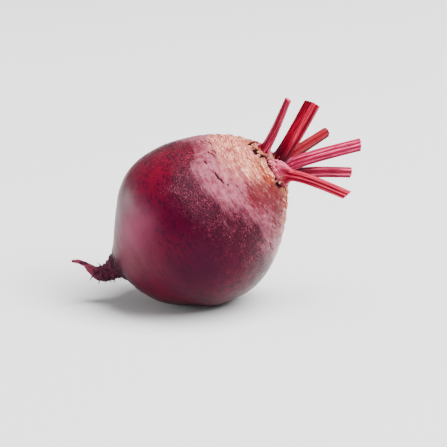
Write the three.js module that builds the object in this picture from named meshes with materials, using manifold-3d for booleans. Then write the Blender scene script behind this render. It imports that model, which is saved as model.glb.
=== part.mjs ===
// A whole beetroot: the swollen root with its tap root, six leaf stalks cut short above
// the crown, and the torn foot of an older leaf. Millimetres, +Z up.
// The root lies on its side. Its own directions are "along", from the tap root's tip to
// the crown, "side", which is the world's Y, and "lift", square to both and upward.
// The origin is the middle of the flat spot that the root rests on.

import * as THREE from "three";
import { LoftGeometry } from "three/addons/geometries/LoftGeometry.js";
import { mergeVertices } from "three/addons/utils/BufferGeometryUtils.js";
import Module from "manifold-3d";

const crownPitch = THREE.MathUtils.degToRad(33.9); // climb of the root's own axis
const middleHeight = 40.2; // the root's middle above the surface it lies on
const middleForward = 0.4; // the root's middle ahead of the flat spot's
const middleAside = 0.2; // and behind it, along Y
const clearance = 0.3; // gap between a stalk and its socket in the crown
const groundSize = 200; // of the block that cuts the root flat where it rests
const groundDepth = 20;

// The root's outline, from the tap root's tip to the top of the crown: a round section
// at each place, with its middle, its radius and how far it leans back in the tap root.
const rootProfile = [
  { along: -62.2, side: -1.6, lift: 18.3, radius: 0.6, lean: 35 },
  { along: -59.9, side: -1.0, lift: 16.2, radius: 1.0, lean: 44 },
  { along: -58.3, side: -0.2, lift: 13.5, radius: 1.2, lean: 60 },
  { along: -57.8, side: 0.4, lift: 10.6, radius: 1.8, lean: 64 },
  { along: -56.9, side: 0.9, lift: 7.3, radius: 2.7, lean: 50 },
  { along: -55.0, side: 1.1, lift: 4.7, radius: 3.7, lean: 26 },
  { along: -52.3, side: 1.0, lift: 3.7, radius: 4.3, lean: 10 },
  { along: -49.5, side: 0.7, lift: 3.4, radius: 4.8, lean: 6 },
  { along: -46.4, side: 0.3, lift: 3.6, radius: 6.2, lean: 4 },
  { along: -44.2, side: 0.1, lift: 1.5, radius: 9.1, lean: 0 },
  { along: -42.0, side: 0, lift: -0.5, radius: 13.5, lean: 0 },
  { along: -39.0, side: 0, lift: -1.5, radius: 18.2, lean: 0 },
  { along: -35.3, side: 0, lift: -1.5, radius: 22.9, lean: 0 },
  { along: -30.0, side: 0, lift: -0.6, radius: 28.3, lean: 0 },
  { along: -23.5, side: 0, lift: 0.6, radius: 33.9, lean: 0 },
  { along: -15.7, side: 0, lift: 0.3, radius: 38.8, lean: 0 },
  { along: -6.0, side: 0, lift: -0.1, radius: 41.0, lean: 0 },
  { along: 5.0, side: 0, lift: -0.6, radius: 40.8, lean: 0 },
  { along: 15.9, side: 0, lift: -0.3, radius: 37.5, lean: 0 },
  { along: 25.1, side: 0.4, lift: 0.7, radius: 32.5, lean: 0 },
  { along: 32.4, side: 1.2, lift: 1.7, radius: 26.8, lean: 0 },
  { along: 37.2, side: 2.0, lift: 2.3, radius: 21.7, lean: 0 },
  { along: 40.6, side: 2.7, lift: 2.6, radius: 17.2, lean: 0 },
  { along: 43.3, side: 3.3, lift: 2.4, radius: 13.5, lean: 0 },
  { along: 45.2, side: 3.7, lift: 2.4, radius: 10.4, lean: 0 },
  { along: 46.2, side: 4.0, lift: 2.4, radius: 5.8, lean: 0 },
  { along: 46.5, side: 4.0, lift: 2.4, radius: 1.4, lean: 0 },
];
const rootAround = 54; // points round a section
const rowsPerStep = 2; // sections made for each step of the outline

// Slow swellings of the skin: height, waves round the root, slant and phase.
const swellings = [
  { height: 0.5, waves: 2, slant: 0.012, phase: 0.9 },
  { height: 0.35, waves: 3, slant: 0.03, phase: -1.7 },
  { height: 0.22, waves: 5, slant: -0.05, phase: 2.1 },
];
// Where each kind of relief fades in and out, along.
const bodySpan = { from: -46, full: -34, fading: 30, to: 44 };
const crownSpan = { from: 17, full: 36, fading: 43.5, to: 45.5 };
const tapRootSpan = { fading: -48, to: -42 };
const ringHeight = 0.32; // of the corky rings below the crown
const ringSpacing = 4.1;
const ringWander = [
  { reach: 1.1, waves: 2, phase: 1 },
  { reach: 0.6, waves: 5, phase: 0 },
];
const knobHeight = 0.45; // of the knobs on the tap root
const knobTwist = 1.3; // turn of the three rows of knobs, in radians a millimetre
const knobPitch = 0.9; // and their spacing, likewise
const reliefFullRadius = 4; // thinner sections carry less relief

// Hollow scars of fallen leaves round the crown: place along, turn round the axis, depth.
const leafScars = [
  { along: 42.6, turn: 115, depth: 1.3 },
  { along: 44.2, turn: 138, depth: 1.0 },
  { along: 45.0, turn: 186, depth: 1.4 },
  { along: 44.2, turn: 226, depth: 1.5 },
  { along: 43.4, turn: 272, depth: 1.1 },
  { along: 44.0, turn: 318, depth: 1.3 },
  { along: 43.6, turn: 4, depth: 1.1 },
  { along: 43.0, turn: 58, depth: 1.2 },
];
const scarLength = 1.3; // half of it, along
const scarSpread = THREE.MathUtils.degToRad(11); // half of it, round the axis

// Rootlets on the tap root: place along and turn of the foot, length, and sweep
// towards the crown.
const rootlets = [
  { along: -56.9, turn: 270, length: 2.6, sweep: -0.65 },
  { along: -52.6, turn: 262, length: 1.4, sweep: 0.4 },
  { along: -54.6, turn: 205, length: 2.8, sweep: -0.6 },
  { along: -49.2, turn: 232, length: 2.2, sweep: -0.4 },
  { along: -52.0, turn: 340, length: 4.0, sweep: -0.7 },
  { along: -48.6, turn: 18, length: 3.0, sweep: -0.4 },
  { along: -53.4, turn: 60, length: 2.4, sweep: -0.5 },
  { along: -47.4, turn: 300, length: 2.0, sweep: 0.2 },
];
const rootletRadius = 0.45;
const rootletSides = 5;
const rootletSunk = 1.3; // depth of a rootlet's foot in the tap root

// Leaf stalks and the torn leaf foot, in along, side and lift: the seat inside the crown, the
// climb before the bend, the middle of the cut end, the way the outer face looks, and the
// width and thickness of the sheath at the foot, of the stalk and of its cut end.
const stalks = [
  {
    name: "leaf_stalk_1",
    color: "#a8304c",
    seat: [40.6, -0.2, 11.3],
    climb: 5.5,
    tip: [68.2, -2.5, 26.5],
    face: [0, -0.85, 0.5],
    sheath: { width: 7.6, thick: 3.0, bow: 1.3 },
    body: { width: 5.6, thick: 3.6 },
    end: { width: 3.0, thick: 2.8 },
    skew: 0.1,
  },
  {
    name: "leaf_stalk_2",
    color: "#b3123a",
    seat: [42.8, 4.4, 2.6],
    climb: 6.0,
    tip: [74.8, 17.6, 14.5],
    face: [0, -1, 0.1],
    sheath: { width: 7.2, thick: 4.2, bow: 0.3 },
    body: { width: 6.8, thick: 5.0 },
    end: { width: 7.5, thick: 5.2 },
    skew: -0.1,
  },
  {
    name: "leaf_stalk_3",
    color: "#b01434",
    seat: [41.2, 12.4, 0.2],
    climb: 9.0,
    tip: [71.4, 33.0, -4.3],
    face: [-0.5, 0.8, 0.35],
    sheath: { width: 6.0, thick: 3.4, bow: 0.4 },
    body: { width: 6.8, thick: 4.6 },
    end: { width: 4.8, thick: 4.2 },
    skew: 0,
  },
  {
    name: "leaf_stalk_4",
    color: "#b23b5e",
    seat: [42.2, 7.8, -1.9],
    climb: 10.0,
    tip: [83.0, 15.2, -14.7],
    face: [0, -1, -0.15],
    sheath: { width: 5.4, thick: 3.4, bow: 0.2 },
    body: { width: 6.6, thick: 4.8 },
    end: { width: 6.1, thick: 4.8 },
    skew: 0.15,
  },
  {
    name: "leaf_stalk_5",
    color: "#a02a48",
    seat: [40.2, 11.8, -6.6],
    climb: 9.0,
    tip: [71.0, 23.0, -25.4],
    face: [0, -1, -0.5],
    sheath: { width: 5.4, thick: 3.2, bow: -0.4 },
    body: { width: 5.6, thick: 4.4 },
    end: { width: 5.2, thick: 4.2 },
    skew: 0,
  },
  {
    name: "leaf_stalk_6",
    color: "#b5405c",
    seat: [42.0, -4.4, -1.6],
    climb: 7.5,
    tip: [66.7, -12.4, -25.7],
    face: [0.1, -1, -0.25],
    sheath: { width: 12.6, thick: 2.6, bow: 1.5 },
    body: { width: 6.0, thick: 4.2 },
    end: { width: 4.7, thick: 3.9 },
    skew: 0.5,
  },
  {
    name: "torn_leaf_base",
    color: "#c07a74",
    seat: [42.6, -6.6, 4.4],
    climb: 2.5,
    tip: [48.0, -7.8, 4.0],
    face: [0, -1, 0.2],
    sheath: { width: 5.6, thick: 1.5, bow: 0.7 },
    body: { width: 5.2, thick: 1.3 },
    end: { width: 4.2, thick: 1.0 },
    skew: -0.4,
  },
];
const stalkAround = 24; // points round a stalk
const stalkPlaces = [0, 0.12, 0.18, 0.23, 0.28, 0.33, 0.4, 0.55, 0.77, 1];
const sheathEnd = 0.16; // share of a stalk's path where the sheath starts to narrow
const sheathNeck = 0.38; // share of the path where it has narrowed to the stalk
const ribCount = 8; // ribs round a stalk
const ribDepth = 0.055; // their height, as a share of its half width
const bendReach = 0.35; // where the bend ends, as a share of the way to the tip
const skewFrom = 0.7; // share of the path after which a slanted cut tilts the sections

const wasm = await Module();
wasm.setup();

// A closed geometry as a solid that can be cut.
function solidOf(geometry) {
  const bare = new THREE.BufferGeometry();
  bare.setAttribute("position", geometry.getAttribute("position"));
  bare.setIndex(geometry.getIndex());
  const merged = mergeVertices(bare, 1e-4);
  return new wasm.Manifold(
    new wasm.Mesh({
      numProp: 3,
      vertProperties: merged.attributes.position.array,
      triVerts: new Uint32Array(merged.index.array),
    }),
  );
}

// A cut solid as a geometry again.
function geometryOf(solid) {
  const mesh = solid.getMesh();
  const geometry = new THREE.BufferGeometry();
  geometry.setAttribute("position", new THREE.BufferAttribute(mesh.vertProperties, 3));
  geometry.setIndex(new THREE.BufferAttribute(mesh.triVerts, 1));
  geometry.computeVertexNormals();
  return geometry;
}

function smooth(low, high, value) {
  return THREE.MathUtils.smoothstep(value, low, high);
}

// 1 inside a span and 0 outside it, with smooth ends.
function within(span, value) {
  return smooth(span.from, span.full, value) * (1 - smooth(span.fading, span.to, value));
}

// The outline's sections as two smooth curves with one shared parameter from 0 to 1.
const middleCurve = new THREE.CatmullRomCurve3(
  rootProfile.map((row) => new THREE.Vector3(row.along, row.side, row.lift)),
  false,
  "catmullrom",
);
const sizeCurve = new THREE.CatmullRomCurve3(
  rootProfile.map((row) => new THREE.Vector3(row.radius, row.lean, 0)),
  false,
  "catmullrom",
);

// How far the skin stands out of the plain outline at a place along and a turn.
function relief(along, turn) {
  const onBody = within(bodySpan, along);
  const onCrown = within(crownSpan, along);
  const onTapRoot = 1 - smooth(tapRootSpan.fading, tapRootSpan.to, along);
  let height = 0;
  for (const wave of swellings) {
    height += onBody * wave.height * Math.sin(wave.waves * turn + wave.slant * along + wave.phase);
  }
  let wandered = along;
  for (const wave of ringWander) {
    wandered += wave.reach * Math.sin(wave.waves * turn + wave.phase);
  }
  height += onCrown * ringHeight * Math.sin((2 * Math.PI * wandered) / ringSpacing);
  const knob = Math.sin(3 * turn + knobTwist * along) * Math.sin(knobPitch * along);
  height += onTapRoot * knobHeight * knob;
  for (const scar of leafScars) {
    const off = turn - THREE.MathUtils.degToRad(scar.turn);
    const round = Math.atan2(Math.sin(off), Math.cos(off)) / scarSpread;
    const away = (along - scar.along) / scarLength;
    height -= scar.depth * Math.exp(-(round * round + away * away));
  }
  return height;
}

// One round section of the root, with its relief, at a place from 0 to 1.
function rootSection(place) {
  const middle = middleCurve.getPoint(place);
  const size = sizeCurve.getPoint(place);
  const lean = THREE.MathUtils.degToRad(size.y);
  const upward = new THREE.Vector3(Math.sin(lean), 0, Math.cos(lean));
  const points = [];
  for (let k = 0; k < rootAround; k += 1) {
    const turn = (2 * Math.PI * k) / rootAround;
    const share = Math.min(1, size.x / reliefFullRadius);
    const reach = size.x + share * relief(middle.x, turn);
    const point = middle.clone().addScaledVector(upward, reach * Math.sin(turn));
    point.y += reach * Math.cos(turn);
    points.push(point);
  }
  return points;
}

function swollenRoot() {
  const steps = (rootProfile.length - 1) * rowsPerStep;
  const sections = [];
  for (let i = 0; i <= steps; i += 1) {
    sections.push(rootSection(i / steps));
  }
  return new LoftGeometry(sections, { capStart: true, capEnd: true });
}

// The place on the root's curve whose middle lies nearest to a distance along.
function placeAt(along) {
  const samples = 500;
  let best = 0;
  for (let i = 1; i <= samples; i += 1) {
    const nearer = Math.abs(middleCurve.getPoint(i / samples).x - along);
    if (nearer < Math.abs(middleCurve.getPoint(best).x - along)) {
      best = i / samples;
    }
  }
  return best;
}

// A rootlet: a slim cone whose foot is sunk in the tap root.
function rootlet(spec) {
  const place = placeAt(spec.along);
  const middle = middleCurve.getPoint(place);
  const size = sizeCurve.getPoint(place);
  const lean = THREE.MathUtils.degToRad(size.y);
  const turn = THREE.MathUtils.degToRad(spec.turn);
  const outward = new THREE.Vector3(
    Math.sin(lean) * Math.sin(turn),
    Math.cos(turn),
    Math.cos(lean) * Math.sin(turn),
  );
  const ahead = new THREE.Vector3(Math.cos(lean), 0, -Math.sin(lean));
  const way = outward.clone().addScaledVector(ahead, spec.sweep).normalize();
  const length = spec.length + rootletSunk;
  const cone = new THREE.ConeGeometry(rootletRadius, length, rootletSides);
  cone.translate(0, length / 2, 0);
  cone.applyQuaternion(new THREE.Quaternion().setFromUnitVectors(new THREE.Vector3(0, 1, 0), way));
  const foot = middle.addScaledVector(outward, size.x - rootletSunk);
  cone.translate(foot.x, foot.y, foot.z);
  return cone;
}

// A stalk's path: up along the axis from its seat, then bending over to its cut end.
function stalkPath(spec, deeper) {
  const seat = new THREE.Vector3(...spec.seat);
  const climbed = seat.clone().add(new THREE.Vector3(spec.climb, 0, 0));
  const tip = new THREE.Vector3(...spec.tip);
  seat.x -= deeper;
  return new THREE.CubicBezierCurve3(seat, climbed, climbed.clone().lerp(tip, bendReach), tip);
}

// A leaf stalk: a ribbed oval carried along its path, wide, thin and bowed at its foot,
// where it clasps the crown. With grow above 0 it is the cutter for its own socket.
function leafStalk(spec, grow = 0) {
  const path = stalkPath(spec, grow);
  const face = new THREE.Vector3(...spec.face);
  const sections = stalkPlaces.map((place) => {
    const middle = path.getPoint(place);
    const ahead = path.getTangent(place);
    const outward = face.clone().addScaledVector(ahead, -face.dot(ahead)).normalize();
    const across = outward.clone().cross(ahead);
    const inSheath = 1 - smooth(sheathEnd, sheathNeck, place);
    const bodyWidth = THREE.MathUtils.lerp(spec.body.width, spec.end.width, place);
    const bodyThick = THREE.MathUtils.lerp(spec.body.thick, spec.end.thick, place);
    const halfWidth = THREE.MathUtils.lerp(bodyWidth, spec.sheath.width, inSheath) / 2 + grow;
    const halfThick = THREE.MathUtils.lerp(bodyThick, spec.sheath.thick, inSheath) / 2 + grow;
    const skewHere = spec.skew * smooth(skewFrom, 1, place);
    const points = [];
    for (let k = 0; k < stalkAround; k += 1) {
      const turn = (2 * Math.PI * k) / stalkAround;
      const rib = 1 + ribDepth * (grow > 0 ? 1 : Math.cos(ribCount * turn));
      const x = halfWidth * rib * Math.cos(turn);
      const bow = spec.sheath.bow * inSheath * Math.cos(turn) ** 2;
      const y = halfThick * rib * Math.sin(turn) - bow;
      const point = middle.clone().addScaledVector(across, x).addScaledVector(outward, y);
      points.push(point.addScaledVector(ahead, skewHere * x));
    }
    return points;
  });
  return new LoftGeometry(sections, { capStart: true, capEnd: true });
}

const beetroot = new THREE.Group();
beetroot.rotation.y = -crownPitch;
beetroot.position.set(middleForward, middleAside, middleHeight);
beetroot.updateMatrix();

// The root is one solid: body and rootlets joined, sockets cut for the stalks, and the
// resting spot cut flat.
function finishedRoot() {
  let solid = solidOf(swollenRoot());
  for (const spec of rootlets) {
    solid = solid.add(solidOf(rootlet(spec)));
  }
  for (const spec of stalks) {
    solid = solid.subtract(solidOf(leafStalk(spec, clearance)));
  }
  const ground = new THREE.BoxGeometry(groundSize, groundSize, groundDepth);
  ground.translate(0, 0, -groundDepth / 2);
  ground.applyMatrix4(beetroot.matrix.clone().invert());
  return geometryOf(solid.subtract(solidOf(ground)));
}

const skin = new THREE.MeshStandardMaterial({ color: "#6b1a38", roughness: 0.45, metalness: 0 });
const root = new THREE.Mesh(finishedRoot(), skin);
root.name = "root";
beetroot.add(root);

for (const spec of stalks) {
  const finish = new THREE.MeshStandardMaterial({
    color: spec.color,
    roughness: 0.4,
    metalness: 0,
  });
  const stalk = new THREE.Mesh(leafStalk(spec), finish);
  stalk.name = spec.name;
  beetroot.add(stalk);
}

export default beetroot;
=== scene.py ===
# A whole beetroot lying on its side. Sizes in the dictionaries are millimetres and
# degrees, and every mesh is placed in metres.
import math

import bpy
import numpy as np
from mathutils import Matrix, Vector


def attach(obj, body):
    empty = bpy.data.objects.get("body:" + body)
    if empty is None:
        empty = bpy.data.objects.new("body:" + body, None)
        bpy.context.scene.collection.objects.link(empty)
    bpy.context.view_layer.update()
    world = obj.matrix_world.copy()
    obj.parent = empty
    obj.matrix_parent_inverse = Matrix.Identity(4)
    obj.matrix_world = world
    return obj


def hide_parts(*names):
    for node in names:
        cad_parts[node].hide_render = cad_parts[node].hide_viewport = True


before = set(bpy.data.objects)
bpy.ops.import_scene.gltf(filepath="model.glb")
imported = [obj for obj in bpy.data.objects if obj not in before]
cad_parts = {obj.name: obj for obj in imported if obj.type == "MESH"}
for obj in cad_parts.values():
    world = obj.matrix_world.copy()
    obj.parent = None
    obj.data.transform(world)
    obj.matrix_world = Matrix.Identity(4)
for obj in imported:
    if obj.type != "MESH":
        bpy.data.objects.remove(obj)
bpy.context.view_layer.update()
print("frame loaded:", ", ".join(sorted(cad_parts)))

# The root's own directions: along its axis to the crown, to the side, and lift.
lying = {
    "crownPitch": 33.9,              # climb of the root's axis
    "middle": (0.4, 0.2, 40.2),      # the root's middle above the flat spot
}
pitch = math.radians(lying["crownPitch"])
ownWays = np.array([
    [math.cos(pitch), 0, math.sin(pitch)],
    [0, 1, 0],
    [-math.sin(pitch), 0, math.cos(pitch)],
])


# own directions in millimetres to the frame in metres: turned by the pitch, then moved
def placed(points):
    return (points @ ownWays + np.array(lying["middle"])) / 1000


# 0 below low, 1 above high, and a smooth S between them
def fade(low, high, value):
    share = np.clip((value - low) / (high - low), 0, 1)
    return share * share * (3 - 2 * share)


# straight from start to end
def ramp(start, end, share):
    return start + (end - start) * share


# a bell: 1 at the middle and 1/e half its width away
def bell(value, middle, half):
    return np.exp(-((value - middle) / half) ** 2)


# smooth curve through rows: cubic pieces, each slope half the way between the neighbours
def curveThrough(rows, places):
    rows = np.asarray(rows, float)
    ends = np.vstack([2 * rows[0] - rows[1], rows, 2 * rows[-1] - rows[-2]])
    spot = np.clip(places, 0, 1) * (len(rows) - 1)
    start = np.minimum(spot.astype(int), len(rows) - 2)
    u = (spot - start)[..., None]
    before, first, second, after = (ends[start + k] for k in range(4))
    slope = second - before
    bend = 2 * before - 5 * first + 4 * second - after
    twist = 3 * (first - second) + after - before
    return first + 0.5 * u * (slope + u * (bend + u * twist))


# soft random field: sines of random direction and phase, wavelengths near size, about -1 to 1
def ripples(points, size, seed, count=22):
    random = np.random.default_rng(seed)
    ways = random.normal(size=(count, 3))
    ways /= np.linalg.norm(ways, axis=1, keepdims=True)
    ways *= 2 * np.pi / size * random.uniform(0.6, 1.7, (count, 1))
    phases = random.uniform(0, 2 * np.pi, count)
    return np.sin(points @ ways.T + phases).sum(axis=-1) * math.sqrt(2 / count) / 1.6


# unit vectors along the last axis
def unit(vectors):
    return vectors / np.linalg.norm(vectors, axis=-1, keepdims=True)


# faces of a closed tube of rings: quads between neighbours, then a fan to each end's pole
def tubeFaces(ringCount, around):
    ring, step = np.meshgrid(np.arange(ringCount - 1), np.arange(around), indexing="ij")
    here = ring * around + step
    beside = ring * around + (step + 1) % around
    quads = np.stack([here, beside, beside + around, here + around], -1).reshape(-1, 4)
    turn = np.arange(around)
    following = (turn + 1) % around
    last = (ringCount - 1) * around
    firstPole = np.full(around, ringCount * around)
    startFan = np.stack([firstPole, following, turn], -1)
    endFan = np.stack([firstPole + 1, last + turn, last + following], -1)
    return quads, np.vstack([startFan, endFan])


# rings as a closed body: the poles are the means of the first and the last ring
def tubeBody(rings):
    ringCount, around = rings.shape[:2]
    points = np.vstack([rings.reshape(-1, 3), rings[0].mean(0), rings[-1].mean(0)])
    quads, fans = tubeFaces(ringCount, around)
    a, b, c = points[quads[:, 0]], points[quads[:, 1]], points[quads[:, 2]]
    volume = np.einsum("ij,ij->i", a, np.cross(b, c)).sum()
    if volume < 0:                   # the rings run the other way round
        quads, fans = quads[:, ::-1], fans[:, ::-1]
    return points, quads, fans


# one value for each ring point, carried on to the two poles
def withPoles(values):
    flat = values.reshape(-1, *values.shape[2:])
    return np.concatenate([flat, values[0].mean(0)[None], values[-1].mean(0)[None]])


# several bodies as one: their points stacked, their faces counted on
def joined(bodies):
    points, quads, fans, start = [], [], [], 0
    for body in bodies:
        points.append(body[0])
        quads.append(body[1] + start)
        fans.append(body[2] + start)
        start += len(body[0])
    return np.vstack(points), np.vstack(quads), np.vstack(fans)


# a strand: an oval carried along a path, its thin way towards a face, closed at both ends
def strandBody(path, halfWidth, halfThick, face, around=10):
    ahead = unit(np.gradient(path, axis=0))
    outward = unit(face - (ahead @ face)[:, None] * ahead)
    across = np.cross(outward, ahead)
    turn = np.linspace(0, 2 * np.pi, around, endpoint=False)
    wide = (halfWidth[:, None] * np.cos(turn))[..., None]
    deep = (halfThick[:, None] * np.sin(turn))[..., None]
    return tubeBody(path[:, None] + across[:, None] * wide + outward[:, None] * deep)


# a finished piece from own-direction points, with its marks as point attributes
def makePiece(name, body, material, marks=None, stands=()):
    points, quads, fans = body
    world = placed(points)
    world[:, 2] = np.maximum(world[:, 2], 0)          # flat where it rests
    mesh = bpy.data.meshes.new(name)
    mesh.from_pydata(world.tolist(), [], quads.tolist() + fans.tolist())
    mesh.polygons.foreach_set("use_smooth", np.ones(len(mesh.polygons), bool))
    for markName, values in (marks or {}).items():
        kind, field = ("FLOAT", "value") if values.ndim == 1 else ("FLOAT_VECTOR", "vector")
        attribute = mesh.attributes.new(markName, kind, "POINT")
        attribute.data.foreach_set(field, values.astype(np.float32).ravel())
    mesh.materials.append(material)
    mesh.update()
    piece = bpy.data.objects.new(name, mesh)
    bpy.context.collection.objects.link(piece)
    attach(piece, "root")
    if stands:
        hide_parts(*stands)
    print(name, "made:", len(points), "points")


def startMaterial(name):
    material = bpy.data.materials.new(name)
    material.use_nodes = True
    tree = material.node_tree
    return material, tree, tree.nodes["Principled BSDF"]


# an input takes another node's output, or else a number or a colour
def feed(socket, value):
    if isinstance(value, bpy.types.NodeSocket):
        socket.id_data.links.new(value, socket)
    else:
        socket.default_value = value


# a new node: its settings, then its inputs by name or number
def addNode(tree, kind, inputs, **settings):
    node = tree.nodes.new(kind)
    for setting, value in settings.items():
        setattr(node, setting, value)
    for place, value in inputs.items():
        feed(node.inputs[place], value)
    return node


# a mark of the mesh, by its name
def mark(tree, name, output="Fac"):
    return addNode(tree, "ShaderNodeAttribute", {}, attribute_name=name).outputs[output]


def objectPlace(tree):
    return addNode(tree, "ShaderNodeTexCoord", {}).outputs["Object"]


# the nodes from here on go into the tree that their first socket belongs to
def noise(vector, scale, detail, rough, warp=0.0):
    inputs = {"Vector": vector, "Scale": scale, "Detail": detail, "Roughness": rough,
              "Distortion": warp}
    return addNode(vector.id_data, "ShaderNodeTexNoise", inputs).outputs["Fac"]


# how far a place is from the nearest of scattered points
def cells(vector, scale):
    inputs = {"Vector": vector, "Scale": scale}
    return addNode(vector.id_data, "ShaderNodeTexVoronoi", inputs).outputs["Distance"]


def stretched(vector, scale):
    inputs = {"Vector": vector, "Scale": scale}
    return addNode(vector.id_data, "ShaderNodeMapping", inputs).outputs["Vector"]


def combined(operation, first, second):
    inputs = {0: first, 1: second}
    node = addNode(first.id_data, "ShaderNodeMath", inputs, operation=operation)
    return node.outputs[0]


def times(first, second):
    return combined("MULTIPLY", first, second)


# a value times a weight plus others
def weighed(value, weight, *others):
    total = times(value, weight)
    for other in others:
        total = combined("ADD", total, other)
    return total


# a value plus a noise's distance from one half, times a reach
def ragged(grain, reach, value):
    return weighed(grain, reach, value, -reach / 2)


# a smooth S: start where the value is low, end where it is high
def between(value, low, high, start=0.0, end=1.0):
    inputs = {"Value": value, "From Min": low, "From Max": high, "To Min": start,
              "To Max": end}
    node = addNode(value.id_data, "ShaderNodeMapRange", inputs,
                   interpolation_type="SMOOTHSTEP")
    return node.outputs["Result"]


def mixed(share, first, second):
    inputs = {0: share, 6: first, 7: second}          # 6 and 7 are its two colours
    return addNode(share.id_data, "ShaderNodeMix", inputs, data_type="RGBA").outputs[2]


# a normal lifted by a height: distance in metres, strength, and the normal it starts from
def bumped(height, distance, strength, onto=None):
    inputs = {"Height": height, "Distance": distance, "Strength": strength}
    if onto is not None:
        inputs["Normal"] = onto
    return addNode(height.id_data, "ShaderNodeBump", inputs).outputs["Normal"]


# a screen colour of 0 to 255 as linear light
def paint(red, green, blue):
    share = np.array([red, green, blue]) / 255
    linear = np.where(share < 0.04045, share / 12.92, ((share + 0.055) / 1.055) ** 2.4)
    return (*linear.tolist(), 1.0)


# a colour with a screen colour laid over a share of it
def overlaid(under, colour, share):
    return mixed(share, under, paint(*colour))


# roughness, as a number or a node's output, and the specular level and tint
def setGloss(shader, roughness, specular, tint=(1, 1, 1)):
    feed(shader.inputs["Roughness"], roughness)
    shader.inputs["Specular IOR Level"].default_value = specular
    shader.inputs["Specular Tint"].default_value = (*tint, 1)


# Dry pieces' look: a noise's detail and roughness, where its second colour starts and is
# full, the surface's roughness and specular level, and its bump.
dryLook = {
    "leaf": {"noise": (4, 0.65), "span": (0.4, 0.62), "gloss": (0.75, 0.12),
             "bump": (0.0003, 0.7)},
    "hair": {"noise": (3, 0.55), "span": (0.4, 0.6), "gloss": (0.7, 0.15),
             "bump": (0.0002, 0.5)},
}


# dry tissue: a fine noise that goes from a first screen colour to a second and lifts the skin
def makeDryMaterial(name, kind, first, second, scale):
    look = dryLook[kind]
    material, tree, shader = startMaterial(name)
    threads = noise(objectPlace(tree), scale, *look["noise"])
    share = between(threads, *look["span"])
    feed(shader.inputs["Base Color"], overlaid(paint(*first), second, share))
    setGloss(shader, *look["gloss"])
    feed(shader.inputs["Normal"], bumped(threads, *look["bump"]))
    return material


# Leaf stalks: a ribbed oval carried along a path that climbs from the crown and bends over.
# Places are shares of the path.
stalkShape = {
    "rings": 130,
    "around": 120,
    "sheathSpan": (0.16, 0.38),      # where the sheath narrows into the stalk
    "flareSpan": (0.32, 0.14),       # where the foot widens, going down
    "bendReach": 0.35,
    "skewFrom": 0.7,
    "turnWander": (0.12, 0.05),
    "fineRibs": 19,
    "fineRibHeight": 0.06,
    "fineRibPale": 0.08,
    "broadRibs": 8,
    "broadRibHeight": 0.055,         # as a share of the half width
    "ridgeHeight": 0.7,
    "ridgePale": 0.6,
    "ridgeLoss": 0.6,                # how much of a ridge the sheath takes away
    "threads": 26,
    "threadHeight": 0.13,
    "threadHalf": (2.2, 5.0),
    "threadPale": (-0.6, 0.8),
    "capRings": 7,
    "capRipple": (0.14, 2.2, 40),    # height, size and seed of the cut end's unevenness
    "capSunk": 0.0875,
    "capPale": 0.3,
    "socketSpan": (0.06, 0.34, 9),   # from, to and count of the places in the crown
    "socketGap": 0.3,
    "socketStep": 3.0,
}
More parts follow.
